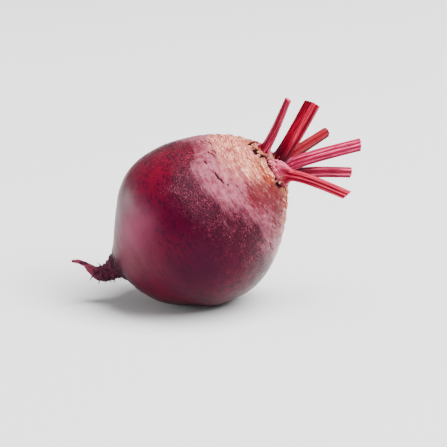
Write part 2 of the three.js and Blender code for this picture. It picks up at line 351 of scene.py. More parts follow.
# Sizes are width, thickness and, for the sheath, its bow. A ridge is its turn, half width,
# height and paleness; a height below zero is a groove, and a paleness below zero is dark.
# The foot span is how far up from the seat the foot colour ends, and how far up it is full.
# The dark feet of stalks 2 to 5 are painted shade between the stalk bases; stalks 1 and 6 have
# pink feet of their own.
stalks = [
    {
        "node": "leaf_stalk_1", "seat": (40.6, -0.2, 11.3), "climb": 5.5,
        "tip": (68.2, -2.5, 26.5), "face": (0, -0.85, 0.5), "sheath": (7.6, 3.0, 1.3),
        "body": (5.6, 3.6), "end": (3.0, 2.8), "skew": 0.1,
        "flare": 0.38, "footShadeAndPinkSpan": (4.0, 1.5), "foot": (150, 52, 74),
        "red": (116, 10, 36), "deep": (62, 4, 24), "pale": (204, 66, 100),
        "ridges": [(150, 8, 0.25, 0.7), (118, 7, 0.2, 0.5), (90, 7, -0.2, -0.4),
                   (62, 7, 0.2, 0.6), (30, 8, 0.2, 0.5)],
    },
    {
        "node": "leaf_stalk_2", "seat": (42.8, 4.4, 2.6), "climb": 6.0,
        "tip": (74.8, 17.6, 14.5), "face": (0, -1, 0.1), "sheath": (7.2, 4.2, 0.3),
        "body": (6.8, 5.0), "end": (7.5, 5.2), "skew": -0.1,
        "flare": 0.1, "footShadeAndPinkSpan": (20.0, 4.0), "foot": (36, 3, 12),
        "red": (106, 1, 20), "deep": (44, 1, 12), "pale": (190, 40, 72),
        "ridges": [(108, 11, 0.45, 0.9), (128, 8, -0.5, -1.0), (158, 10, 0.4, 0.8),
                   (84, 6, 0.15, 0.35), (64, 6, 0.15, 0.3), (36, 22, -0.1, -0.8)],
    },
    {
        "node": "leaf_stalk_3", "seat": (41.2, 12.4, 0.2), "climb": 9.0,
        "tip": (71.4, 33.0, -4.3), "face": (-0.5, 0.8, 0.35), "sheath": (6.0, 3.4, 0.4),
        "body": (6.8, 4.6), "end": (4.8, 4.2), "skew": 0,
        "flare": 0.1, "footShadeAndPinkSpan": (12.0, 4.0), "foot": (36, 3, 12),
        "red": (108, 0, 16), "deep": (46, 1, 12), "pale": (128, 4, 26),
        "ridges": [(270, 8, 0.2, 0.4), (305, 9, -0.4, -0.9), (332, 9, 0.3, 0.8),
                   (236, 8, 0.2, 0.4), (200, 8, 0.25, 0.5)],
    },
    {
        "node": "leaf_stalk_4", "seat": (42.2, 7.8, -1.9), "climb": 10.0,
        "tip": (83.0, 15.2, -14.7), "face": (0, -1, -0.15), "sheath": (5.4, 3.4, 0.2),
        "body": (6.6, 4.8), "end": (6.1, 4.8), "skew": 0.15,
        "flare": 0.1, "footShadeAndPinkSpan": (9.0, 3.5), "foot": (36, 3, 12),
        "red": (142, 13, 54), "deep": (78, 4, 30), "pale": (228, 92, 138),
        "ridges": [(40, 7, 0.3, 0.9), (58, 6, -0.3, -0.7), (74, 7, 0.3, 0.8),
                   (92, 6, -0.3, -0.7), (108, 7, 0.3, 0.8), (128, 7, -0.3, -0.7),
                   (146, 8, 0.3, 0.9)],
    },
    {
        "node": "leaf_stalk_5", "seat": (40.2, 11.8, -6.6), "climb": 9.0,
        "tip": (71.0, 23.0, -25.4), "face": (0, -1, -0.5), "sheath": (5.4, 3.2, -0.4),
        "body": (5.6, 4.4), "end": (5.2, 4.2), "skew": 0,
        "flare": 0.1, "footShadeAndPinkSpan": (22.0, 8.5), "foot": (30, 2, 10),
        "red": (126, 10, 42), "deep": (64, 4, 22), "pale": (220, 82, 122),
        "ridges": [(34, 8, 0.3, 0.8), (62, 8, -0.3, -0.7), (88, 8, 0.3, 0.7),
                   (114, 8, -0.3, -0.7), (140, 8, 0.3, 0.7)],
    },
    {
        "node": "leaf_stalk_6", "seat": (42.0, -4.4, -1.6), "climb": 7.5,
        "tip": (66.7, -12.4, -25.7), "face": (0.1, -1, -0.25), "sheath": (12.6, 2.6, 1.5),
        "body": (6.0, 4.2), "end": (4.7, 3.9), "skew": 0.5,
        "flare": 0.12, "footShadeAndPinkSpan": (7.0, 2.0), "foot": (184, 68, 96),
        "red": (138, 10, 36), "deep": (76, 5, 24), "pale": (214, 60, 92),
        "ridges": [(24, 9, 0.25, 1.0), (52, 7, 0.25, 0.7), (72, 6, -0.25, -0.6),
                   (88, 7, 0.25, 0.8), (106, 6, -0.25, -0.6), (124, 7, 0.25, 0.8),
                   (150, 8, -0.2, -0.4)],
    },
]


# a stalk's path: a cubic from the seat, up the axis, over to the middle of the cut end
def stalkPath(spec, places):
    seat, tip = np.array(spec["seat"]), np.array(spec["tip"])
    climbed = seat + np.array([spec["climb"], 0, 0])
    over = ramp(climbed, tip, stalkShape["bendReach"])
    p = places[:, None]
    middle = ((1 - p) ** 3 * seat + 3 * (1 - p) ** 2 * p * climbed
              + 3 * (1 - p) * p ** 2 * over + p ** 3 * tip)
    ahead = ((1 - p) ** 2 * (climbed - seat) + 2 * (1 - p) * p * (over - climbed)
             + p ** 2 * (tip - over))
    return middle, unit(ahead)


# half width, half thickness and bow at a place: the sheath narrowing into the stalk
def stalkSizes(spec, places):
    inSheath = 1 - fade(*stalkShape["sheathSpan"], places)
    sizes = []
    for k in range(2):
        plain = ramp(spec["body"][k], spec["end"][k], places)
        sizes.append(ramp(plain, spec["sheath"][k], inSheath) / 2)
    return sizes[0], sizes[1], spec["sheath"][2] * inSheath, inSheath


# The root: its outline, as round sections with a middle, a radius and a backward lean.
rootShape = {
    "outline": [                     # along, side, lift, radius, lean
        (-62.2, -1.6, 18.3, 0.6, 35), (-59.9, -1.0, 16.2, 1.0, 44), (-58.3, -0.2, 13.5, 1.2, 60),
        (-57.8, 0.4, 10.6, 1.8, 64), (-56.9, 0.9, 7.3, 2.7, 50), (-55.0, 1.1, 4.7, 3.7, 26),
        (-52.3, 1.0, 3.7, 4.3, 10), (-49.5, 0.7, 3.4, 4.8, 6), (-46.4, 0.3, 3.6, 6.2, 4),
        (-44.2, 0.1, 1.5, 9.1, 0), (-42.0, 0, -0.5, 13.5, 0), (-39.0, 0, -1.5, 18.2, 0),
        (-35.3, 0, -1.5, 22.9, 0), (-30.0, 0, -0.6, 28.3, 0), (-23.5, 0, 0.6, 33.9, 0),
        (-15.7, 0, 0.3, 38.8, 0), (-6.0, 0, -0.1, 41.0, 0), (5.0, 0, -0.6, 40.8, 0),
        (15.9, 0, -0.3, 37.5, 0), (25.1, 0.4, 0.7, 32.5, 0), (32.4, 1.2, 1.7, 26.8, 0),
        (37.2, 2.0, 2.3, 21.7, 0), (40.6, 2.7, 2.6, 17.2, 0), (43.3, 3.3, 2.4, 13.5, 0),
        (45.2, 3.7, 2.4, 10.4, 0), (46.2, 4.0, 2.4, 5.8, 0), (46.5, 4.0, 2.4, 1.4, 0),
    ],
    "swellings": [                   # height, waves round, slant, phase
        (0.5, 2, 0.012, 0.9), (0.35, 3, 0.03, -1.7), (0.22, 5, -0.05, 2.1),
    ],
    "bodySpan": (-46, -34, 30, 44),  # where the swellings rise and fall
    "crownSpan": (17, 36, 43.5, 45.5),
    "ringHeight": 0.32,
    "ringSpacing": 4.1,
    "ringWander": [(1.1, 2, 1), (0.6, 5, 0)],         # reach, waves round, phase
    "knobHeight": 0.45,
    "knobSpan": (-42, -48),
    "scarPlain": 0.6,                # the share of a scar's depth that the solid has too
    "crackWander": (0.22, 0.12),
    "fineSpans": {                   # where each fine relief starts and is full
        "body": (-47, -40), "shoulder": (-6, 10), "shoulderLoss": (24, 34),
        "crown": (20, 36), "lumps": (30, 40), "puckers": (34, 43), "heart": (44.6, 46),
    },
    "neck": (-45, 2.4),              # place and half length
    "puckers": (0.16, 17),           # height and count round
    "fineRipples": [                 # where, height, size, along, round, seed, sines
        ("wrinkles", 0.10, 1.5, 1, 0.16, 11, 40), ("wrinkles", 0.07, 0.9, 1, 0.16, 12, 40),
        ("crown", 0.12, 3.2, 1, 1, 13, 22), ("body", 0.05, 9, 1, 1, 14, 22),
        ("tail", 0.24, 2.6, 0.25, 1, 15, 22), ("tail", 0.08, 1.9, 1, 1, 16, 22),
        ("heart", 0.35, 2.4, 1, 1, 25, 22), ("heart", 0.2, 1.1, 1, 1, 26, 40),
        ("lumps", 0.22, 2.6, 1, 0.5, 18, 40), ("lumps", 0.12, 1.3, 1, 1, 19, 40),
        ("neck", 0.22, 2.6, 1, 0.4, 17, 22),
    ],
    "moat": (1.25, 0.28, 0.9),       # round a stalk's foot: how near, half width, depth
    "lip": (1.95, 0.35, 0.35),       # outside the moat: how near, half width, height
    "scars": [                       # along, turn, depth, half length, half spread
        (42.6, 115, 1.3, 1.3, 11), (44.2, 138, 1.0, 1.3, 11), (45.0, 186, 1.4, 1.3, 11),
        (44.2, 226, 1.5, 1.3, 11), (43.4, 272, 1.1, 1.3, 11), (44.0, 318, 1.3, 1.3, 11),
        (43.6, 4, 1.1, 1.3, 11), (43.0, 58, 1.2, 1.3, 11),
    ],
    "holes": [                       # dark holes in the scars, likewise; the dark is painted shade
        (42.3, 122, 2.0, 1.1, 7.5), (44.2, 158, 1.4, 0.6, 11), (44.6, 184, 1.7, 0.8, 12),
        (43.7, 209, 2.7, 1.7, 16), (41.0, 104, 0.8, 0.6, 3.4), (39.6, 98, 0.6, 0.5, 2.8),
        (43.4, 140, 1.0, 0.5, 6), (40.2, 116, 0.5, 0.4, 2.4), (41.4, 132, 0.5, 0.4, 3.0),
        (43.2, 268, 0.9, 0.7, 8), (44.2, 322, 1.2, 0.7, 9), (43.4, 8, 0.8, 0.6, 8),
        (42.6, 62, 1.0, 0.6, 7), (25.3, 157, 0.3, 0.4, 1.0),
    ],
    "cracks": [                      # along, turn, half length, slant, half width, depth
        (23.2, 147.2, 4.9, 0.17, 0.38, 0.55), (21.2, 128.8, 2.2, 0.41, 0.30, 0.38),
        (26.0, 103.8, 3.5, 0.42, 0.25, 0.28), (23.6, 101.0, 3.0, 0.40, 0.22, 0.20),
        (25.2, 121.5, 3.4, 0.35, 0.26, 0.28), (26.6, 119.5, 2.6, 0.35, 0.20, 0.18),
        (43.5, 144.5, 1.7, 0.60, 0.40, 0.70), (31.0, 88.0, 3.0, 0.10, 0.22, 0.20),
        (24.0, 231.0, 5.0, -0.20, 0.34, 0.40), (18.2, 266.0, 4.2, 0.15, 0.28, 0.30),
        (22.5, 312.0, 6.0, 0.20, 0.34, 0.42), (15.8, 352.0, 4.0, -0.15, 0.26, 0.28),
        (21.8, 36.0, 5.4, 0.20, 0.30, 0.34), (28.5, 64.0, 3.2, 0.10, 0.24, 0.24),
    ],
    "zoneShift": [                   # where the cork starts later or sooner: along, turn,
        (26, 206, 24, 36, -12.0),    # half length, half spread, shift
        (31, 101, 8, 18, 5.0), (22, 300, 22, 34, -5.0), (24, 20, 22, 30, 3.0),
        (5, 116, 10, 17, -6.0), (16, 103, 7, 14, -7.0),
    ],
    "crimson": [                     # redder patches: along, turn, half length, spread, share
        (4, 113, 14, 22, 1.0), (14, 106, 8, 14, 0.9), (12, 260, 20, 30, 0.7),
        (-20, 20, 18, 26, 0.8), (-6, 330, 14, 22, 0.6),
    ],
    "purpleAndShade": [                      # darker purple patches, likewise; the broad one low on the front is painted shade
        (-4, 196, 20, 24, 0.9), (10, 158, 9, 24, 0.55), (-30, 250, 16, 30, 0.7),
        (8, 45, 16, 22, 0.6), (-43, 160, 3.5, 60, 0.7),
    ],
    "paintedReflection": [                       # mauve painted reflection of the bright floor and the left light, by the tap root, likewise
        (-20, 145, 7.5, 17, 0.75), (-28, 140, 7, 17, 0.6), (-26, 320, 12, 30, 0.5),
    ],
    "rust": [                        # orange-brown streaks on the crown, likewise
        (40.6, 186, 2.2, 22, 1.0), (38.4, 205, 1.6, 15, 0.8), (41.0, 150, 1.2, 12, 0.5),
        (39.0, 250, 2.0, 20, 0.8), (40.2, 330, 1.8, 24, 0.9), (38.6, 40, 2.0, 18, 0.8),
    ],
    "ruddy": [                       # dark red streaks on crown and shoulder, likewise
        (33.5, 182, 7.5, 19, 1.1), (39.5, 208, 5, 22, 0.9), (30, 226, 6, 20, 0.8),
        (38.5, 227, 5, 15, 0.6), (34, 290, 6, 18, 0.7), (19, 107, 5, 12, 1.0),
        (32, 350, 7, 20, 0.8), (33, 48, 5, 14, 0.6),
    ],
    "rows": 350,
    "around": 280,
    "closerRows": [(-38, -46, 0.8), (16, 32, 1.2)],   # from, to, how much closer
    "outlineSteps": 6000,
    "spotSteps": 3000,
}


# rising over a span's first two numbers and falling over its last two
def within(span, value):
    return fade(span[0], span[1], value) * (1 - fade(span[2], span[3], value))


# distance round the axis between two turns, from -180 to 180 degrees
def turnOff(turn, other):
    return (np.degrees(turn) - other + 180) % 360 - 180


# the plain relief of the solid: slow swellings round the body, corky rings that wander about
# the crown, and knobs on the tap root, all of them sines round and along the axis
def plainRelief(along, turn):
    onBody = within(rootShape["bodySpan"], along)
    height = sum(onBody * high * np.sin(waves * turn + slant * along + phase)
                 for high, waves, slant, phase in rootShape["swellings"])
    wandered = along + sum(reach * np.sin(waves * turn + phase)
                           for reach, waves, phase in rootShape["ringWander"])
    rings = np.sin(2 * np.pi * wandered / rootShape["ringSpacing"])
    height = height + within(rootShape["crownSpan"], along) * rootShape["ringHeight"] * rings
    knobs = np.sin(3 * turn + 1.3 * along) * np.sin(0.9 * along)
    return height + fade(*rootShape["knobSpan"], along) * rootShape["knobHeight"] * knobs


# bells: height times exp of minus the squared distance along and round the axis
def bells(rows, along, turn):
    total = 0 * (along + turn)
    for place, toward, halfLength, spread, high in rows:
        away = ((along - place) / halfLength) ** 2 + (turnOff(turn, toward) / spread) ** 2
        total = total + high * np.exp(-away)
    return total


# dents, whose rows give the depth third: the sum of their bells, and how dark each is
def dents(rows, along, turn):
    deep = [(place, toward, half, spread, depth) for place, toward, depth, half, spread in rows]
    dark = [(*row[:4], 1) for row in deep]
    return bells(deep, along, turn), np.minimum(bells(dark, along, turn), 1)


# cracks: narrow valleys beside slanted lines round the axis, thinning to their ends
def crackValleys(along, turn, radius):
    depth, share = 0 * (along + turn), 0 * (along + turn)
    broad, small = rootShape["crackWander"]
    for place, toward, halfLength, slant, halfWidth, deep in rootShape["cracks"]:
        aside = np.radians(turnOff(turn, toward)) * radius
        wander = broad * np.sin(aside * 1.3 + place) + small * np.sin(aside * 2.9 + toward)
        taper = np.sqrt(np.clip(1 - (aside / halfLength) ** 2, 0, 1))
        valley = bell(along - slant * aside - wander, place, halfWidth) * taper
        depth = depth + deep * valley
        share = np.maximum(share, valley)
    return depth, share


# fine relief: each row's ripples times the share of its place, and puckers at the crown's
# end; wrinkles are full on the crown and about a third as high on the shoulder
def fineRelief(along, turn, local):
    share = {name: fade(*span, along) for name, span in rootShape["fineSpans"].items()}
    shoulder = share["shoulder"] * (1 - 0.5 * share["shoulderLoss"])
    share["wrinkles"] = share["crown"] + 0.35 * shoulder
    share["tail"] = 1 - share["body"]
    share["neck"] = bell(along, *rootShape["neck"])
    puckerHeight, puckerCount = rootShape["puckers"]
    puckers = np.sin(puckerCount * turn + 2.2 * np.sin(3 * turn) + 0.10 * along)
    height = share["crown"] * share["puckers"] * puckerHeight * puckers
    for where, high, size, lengthways, crossways, seed, sines in rootShape["fineRipples"]:
        ways = local * np.array([lengthways, crossways, crossways])
        height += share[where] * high * ripples(ways, size, seed, sines)
    return height


# outward normals of rings of points, from the cross product of their two differences
def ringNormals(points):
    onward = np.gradient(points, axis=0)
    around = np.roll(points, -1, axis=1) - np.roll(points, 1, axis=1)
    return unit(np.cross(around, onward))


# how near points come to a stalk's side: 1 on it and growing outward, in its own section
def nearStalk(spec, points):
    nearest = np.full(points.shape[:-1], np.inf)
    places = np.linspace(*stalkShape["socketSpan"])
    middle, ahead = stalkPath(spec, places)
    halfWidth, halfThick, bow, _ = stalkSizes(spec, places)
    face = np.array(spec["face"], float)
    for k in range(len(places)):
        outward = unit(face - (ahead[k] @ face) * ahead[k])
        across = np.cross(outward, ahead[k])
        offset = points - middle[k]
        x, y = (offset @ across) / halfWidth[k], offset @ outward
        y = (y + bow[k] * np.clip(x, -1, 1) ** 2) / (halfThick[k] + stalkShape["socketGap"])
        apart = (offset @ ahead[k]) / stalkShape["socketStep"]
        nearest = np.minimum(nearest, np.sqrt(x ** 2 + y ** 2 + apart ** 2))
    return nearest


# the root's skin: leaning rings through the outline, lifted by the plain relief along each
# ring's way out and by the fine relief along the normals of that plain skin
def rootSkinBody():
    fine = np.linspace(0, 1, rootShape["outlineSteps"])
    outline = curveThrough(rootShape["outline"], fine)
    steps = np.hypot(np.diff(outline[:, 0]), np.diff(outline[:, 3]))
    along = outline[1:, 0]
    closeness = 1 + sum(more * fade(start, full, along)
                        for start, full, more in rootShape["closerRows"])
    reached = np.concatenate([[0], np.cumsum(steps * closeness)])
    places = np.interp(np.linspace(0, reached[-1], rootShape["rows"]), reached, fine)
    rows = curveThrough(rootShape["outline"], places)
    length = np.interp(places, fine, np.concatenate([[0], np.cumsum(steps)]))
    turn = np.linspace(0, 2 * np.pi, rootShape["around"], endpoint=False)[None, :]
    middle, radius = rows[:, None, :3], rows[:, 3:4]
    lean = np.radians(rows[:, 4])[:, None]
    along = rows[:, 0:1] + 0 * turn
    outward = np.stack([np.sin(lean) * np.sin(turn), np.cos(turn) + 0 * lean,
                        np.cos(lean) * np.sin(turn)], -1)
    scarDepth, scarShare = dents(rootShape["scars"], along, turn)
    share = np.minimum(1, radius / 4)                 # the relief dies out at thin ends
    scarPlain = rootShape["scarPlain"]
    height = share * (plainRelief(along, turn) - scarPlain * scarDepth)
    plain = middle + outward * (radius + height)[..., None]
    holeDepth, holeShare = dents(rootShape["holes"], along, turn)
    crackDepth, crackShare = crackValleys(along, turn, radius)
    fineHeight = fineRelief(along, turn, plain) - (1 - scarPlain) * scarDepth
    near = np.min([nearStalk(spec, plain) for spec in stalks], axis=0)
    near = near + 0.25 * ripples(plain, 1.6, 21)
    moatAt, moatHalf, moatDepth = rootShape["moat"]
    lipAt, lipHalf, lipHeight = rootShape["lip"]
    moat, lip = bell(near, moatAt, moatHalf), bell(near, lipAt, lipHalf)
    fineHeight += lip * (lipHeight + 0.25 * ripples(plain, 1.8, 22)) - moatDepth * moat
    fineHeight -= holeDepth * (1 + 0.3 * ripples(plain, 1.0, 23)) + crackDepth
    points = plain + ringNormals(plain) * (share * fineHeight)[..., None]
    marks = {
        "zone": along + bells(rootShape["zoneShift"], along, turn) + 1.5 * ripples(plain, 22, 24),
        "along": along,
        "skinPlace": np.stack([length[:, None] + 0 * turn, radius * np.cos(turn),
                               radius * np.sin(turn)], -1),
        # painted shade in the hollows: scars, holes, cracks and the moats round the stalks' feet
        "hollowShade": np.clip(0.35 * scarShare ** 2 + holeShare + crackShare + 0.45 * moat, 0, 1),
        "lip": lip * fade(36, 41, along),
    }
    for patch in ("crimson", "purpleAndShade", "paintedReflection", "rust", "ruddy"):
        marks[patch] = np.clip(bells(rootShape[patch], along, turn), 0, 1)
    return tubeBody(points), {name: withPoles(values) for name, values in marks.items()}


# a spot over the plain skin and the way out of it there
def skinSpot(along, turn, above):
    fine = curveThrough(rootShape["outline"], np.linspace(0, 1, rootShape["spotSteps"]))
    side, lift, radius, lean = (np.interp(along, fine[:, 0], fine[:, k]) for k in range(1, 5))
    angle, lean = math.radians(turn), math.radians(lean)
    outward = np.array([math.sin(lean) * math.sin(angle), math.cos(angle),
                        math.cos(lean) * math.sin(angle)])
    return np.array([along, side, lift]) + (radius + above) * outward, outward


# The skin's look.
skinLook = {
    "paints": {                      # screen colours
        "wine": (64, 2, 27), "wineRed": (80, 3, 28), "crimson": (90, 4, 26),
        "purpleAndShade": (38, 3, 26), "mottle": (50, 5, 32), "vein": (44, 3, 24),
        "freckle": (44, 6, 26), "paintedReflection": (114, 38, 66), "tail": (68, 28, 42),
        "neck": (36, 14, 24), "tip": (134, 56, 76), "tailSpot": (34, 14, 24),
        "band": (46, 3, 20), "fleck": (22, 2, 13), "flake": (146, 56, 74),
        "shoulder": (142, 78, 92), "shoulderDark": (108, 40, 54), "line": (85, 20, 40),
        "cork": (214, 134, 112), "corkDark": (166, 78, 78), "tan": (158, 88, 44),
        "rust": (150, 54, 18), "corkLine": (84, 34, 32), "corkLight": (244, 190, 162),
        "pit": (92, 38, 34), "ruddy": (86, 18, 26), "heart": (150, 80, 62),
        "heartDark": (84, 28, 28), "lip": (192, 118, 92), "hollowShade": (70, 16, 20),
        "hole": (10, 3, 5),
    },
    "noises": {                      # stretch round the axis, scale, detail, roughness, warp
        "wineRed": (1, 0.05, 3, 0.5), "mottle": (1, 0.35, 4, 0.6),
        "ragged": (0.22, 0.45, 4, 0.6), "vein": (0.45, 0.5, 4, 0.62, 1.2),
        "freckle": (0.22, 0.9, 4, 0.7), "tailSpot": (1, 0.4, 3, 0.55),
        "flake": (0.5, 2.5, 4, 0.68), "cluster": (1, 0.16, 3, 0.6),
        "line": (0.22, 2.0, 4, 0.7), "corkDark": (0.22, 0.8, 4, 0.65),
        "tan": (0.1, 0.9, 4, 0.7), "rust": (0.1, 1.3, 4, 0.7),
        "corkLine": (0.22, 1.9, 4, 0.75), "corkLight": (0.22, 1.4, 3, 0.7),
        "pit": (0.55, 1.3, 5, 0.72), "ruddy": (0.22, 1.2, 5, 0.75),
        "heartDark": (1, 480.0, 4, 0.68), "coarse": (0.22, 1.4, 5, 0.72),
        "fine": (1, 2.4, 4, 0.6),
    },
    "spans": {                       # from and to, and the shares there if not 0 and 1
        "wineRed": (0.38, 0.62), "mottle": (0.5, 0.75, 0, 0.5), "vein": (0.50, 0.60),
        "veinZone": (-32, -10, 0.15, 0.95), "freckle": (0.57, 0.68, 0, 0.6),
        "paintedReflection": (0.25, 0.6, 0.75, 0.95), "tail": (-41.5, -46.0),
        "neckStart": (-48.5, -45.5), "neckEnd": (-40.5, -44), "tip": (-55.6, -59.4),
        "tailSpot": (0.5, 0.64, 0, 0.8), "flake": (0.54, 0.64), "fleck": (0.49, 0.40),
        "cluster": (0.40, 0.60, 0.15, 1), "bandStart": (-6, 10),
        "bandEnd": (36, 24, 0.25, 1), "band": (0.2, 0.9, 0.88, 0.2),
        "shoulder": (11, 20, 0, 0.9), "shoulderDark": (0.4, 0.7), "line": (0.55, 0.68),
        "crown": (23, 36), "corkDark": (0.42, 0.58), "tanZone": (35, 41, 0.35, 1),
        "tan": (0.49, 0.58), "rust": (0.60, 0.70), "corkLine": (0.54, 0.62),
        "corkLight": (0.56, 0.63), "pit": (0.54, 0.62, 0, 0.85), "ruddy": (0.64, 0.80),
        "heart": (43.6, 45.6), "heartDark": (0.42, 0.6), "hollowShade": (0.15, 0.5),
        "hole": (0.4, 0.75), "gloss": (-16, 8, 0.34, 0.19),
        "coarse": (18, 38, 0.06, 1.0), "flakeHeight": (0.2, 0.8, 1, 0.25),
        "fine": (-30, 30, 0.25, 1),
    },
    "weights": {
        "purpleAndShade": 0.85, "neck": 0.75, "heart": 0.9, "rust": 0.3, "ruddy": 0.32,
        "corkRough": 0.4, "tailRough": 0.36,
    },
    "reaches": {"zone": 15.0, "tail": 9.0, "heart": 3.0},     # how ragged the edges are
    "bumps": {                       # metres, strength
        "coarse": (0.0011, 0.95), "flake": (0.0006, 0.8), "fine": (0.00012, 0.6),
    },
    "specular": 0.13,
    "tint": (1.0, 0.44, 0.60),
}


# a named noise over a place that is stretched round the axis
def skinNoise(place, name):
    around, *numbers = skinLook["noises"][name]
    return noise(stretched(place, (1, around, around)), *numbers)


# how far a value is through the named span
def skinShare(value, name):
    return between(value, *skinLook["spans"][name])


# how far a named noise is through the span of its name
def skinGrain(place, name):
    return skinShare(skinNoise(place, name), name)


# the skin: paints laid one over another, from the tap root to the crown
def makeSkinMaterial():
    material, tree, shader = startMaterial("beetSkin")
    paints, weights = skinLook["paints"], skinLook["weights"]
    reaches, bumps = skinLook["reaches"], skinLook["bumps"]
    along, place = mark(tree, "along"), mark(tree, "skinPlace", "Vector")
    crimson, hollowShade = mark(tree, "crimson"), mark(tree, "hollowShade")
    mottle, edge = skinNoise(place, "mottle"), skinNoise(place, "ragged")
    zone = ragged(edge, reaches["zone"], mark(tree, "zone"))

    # wine, redder or more purple in patches, with dark veins, freckles and a mauve painted
    # reflection
    wine = overlaid(paint(*paints["wine"]), paints["wineRed"], skinGrain(place, "wineRed"))
    wine = overlaid(wine, paints["crimson"], crimson)
    # purple patches: the broad one low on the front is painted shade
    wine = overlaid(wine, paints["purpleAndShade"], times(mark(tree, "purpleAndShade"), weights["purpleAndShade"]))
    wine = overlaid(wine, paints["mottle"], skinShare(mottle, "mottle"))
    veined = times(skinGrain(place, "vein"), skinShare(zone, "veinZone"))
    wine = overlaid(wine, paints["vein"], veined)
    wine = overlaid(wine, paints["freckle"], skinGrain(place, "freckle"))
    # painted reflection: mauve patches by the tap root where the bright floor and the left light
    # are mirrored
    paintedReflection = times(mark(tree, "paintedReflection"), skinShare(mottle, "paintedReflection"))
    wine = overlaid(wine, paints["paintedReflection"], paintedReflection)

    # the tap root: duller and spotted, with a dark neck and a pinker tip
    tail = skinShare(ragged(mottle, reaches["tail"], along), "tail")
    wine = overlaid(wine, paints["tail"], tail)
    neck = times(skinShare(along, "neckStart"), skinShare(along, "neckEnd"))
    wine = overlaid(wine, paints["neck"], times(neck, weights["neck"]))
    wine = overlaid(wine, paints["tip"], skinShare(along, "tip"))
    wine = overlaid(wine, paints["tailSpot"], times(skinGrain(place, "tailSpot"), tail))

    # the flaky band: dark flecks and fine pink flakes, in clusters, on dark wine
    flakes = skinNoise(place, "flake")
    clustered = times(skinShare(flakes, "flake"), skinGrain(place, "cluster"))
    band = times(skinShare(zone, "bandStart"), skinShare(zone, "bandEnd"))
    banded = overlaid(wine, paints["band"], times(band, skinShare(crimson, "band")))
    banded = overlaid(banded, paints["fleck"], times(skinShare(flakes, "fleck"), band))
    banded = overlaid(banded, paints["flake"], times(clustered, band))

    # the pale shoulder, partly its own paler skin and partly painted highlight standing in for
    # the key light's reflection, and the corky crown, streaked round the axis
    paleShare, crownShare = skinShare(zone, "shoulder"), skinShare(zone, "crown")
    lines = skinNoise(place, "line")
    shoulder = overlaid(paint(*paints["shoulder"]), paints["shoulderDark"],
                        skinShare(mottle, "shoulderDark"))
    shoulder = overlaid(shoulder, paints["line"], skinShare(lines, "line"))
    skin = mixed(paleShare, banded, shoulder)
    cork = overlaid(paint(*paints["cork"]), paints["corkDark"], skinGrain(place, "corkDark"))
    tan = times(skinShare(along, "tanZone"), skinGrain(place, "tan"))
    cork = overlaid(cork, paints["tan"], tan)
    rust = weighed(mark(tree, "rust"), weights["rust"], skinNoise(place, "rust"))
    cork = overlaid(cork, paints["rust"], skinShare(rust, "rust"))
    for name in ("corkLine", "corkLight", "pit"):
        cork = overlaid(cork, paints[name], skinGrain(place, name))
    skin = mixed(crownShare, skin, cork)
    ruddy = weighed(mark(tree, "ruddy"), weights["ruddy"], skinNoise(place, "ruddy"))
    skin = overlaid(skin, paints["ruddy"], times(skinShare(ruddy, "ruddy"), paleShare))

    # the brown middle of the crown, the lips of the stalks' sockets, and painted shade in what is
    # hollow: darker in scars and the moats round the stalks' feet, nearly black in holes and
    # cracks
    heart = skinShare(ragged(edge, reaches["heart"], along), "heart")
    budded = overlaid(paint(*paints["heart"]), paints["heartDark"],
                      skinGrain(objectPlace(tree), "heartDark"))
    skin = mixed(times(heart, weights["heart"]), skin, budded)
    skin = overlaid(skin, paints["lip"], times(mark(tree, "lip"), lines))
    for name in ("hollowShade", "hole"):
        skin = overlaid(skin, paints[name], skinShare(hollowShade, name))
    feed(shader.inputs["Base Color"], skin)
    roughness = weighed(crownShare, weights["corkRough"], times(tail, weights["tailRough"]),
                        skinShare(zone, "gloss"))
    setGloss(shader, roughness, skinLook["specular"], skinLook["tint"])

    # relief too fine for the mesh
    coarse = times(skinNoise(place, "coarse"), skinShare(along, "coarse"))
    normal = bumped(coarse, *bumps["coarse"])
    flakeHeight = times(times(flakes, band), skinShare(paleShare, "flakeHeight"))
    normal = bumped(flakeHeight, *bumps["flake"], normal)
    fine = times(skinNoise(place, "fine"), skinShare(along, "fine"))
    feed(shader.inputs["Normal"], bumped(fine, *bumps["fine"], normal))
    return material


skinMaterial = makeSkinMaterial()
skinBody, skinMarks = rootSkinBody()
makePiece("root_skin", skinBody, skinMaterial, skinMarks, ("root",))


# values on a stalk's rings and then on its cut end, each spread over all points
def overStalk(onRings, onCap):
    around = stalkShape["around"]
    return np.concatenate([np.broadcast_to(onRings, (stalkShape["rings"], around)),
                           np.broadcast_to(onCap, (stalkShape["capRings"], around))])


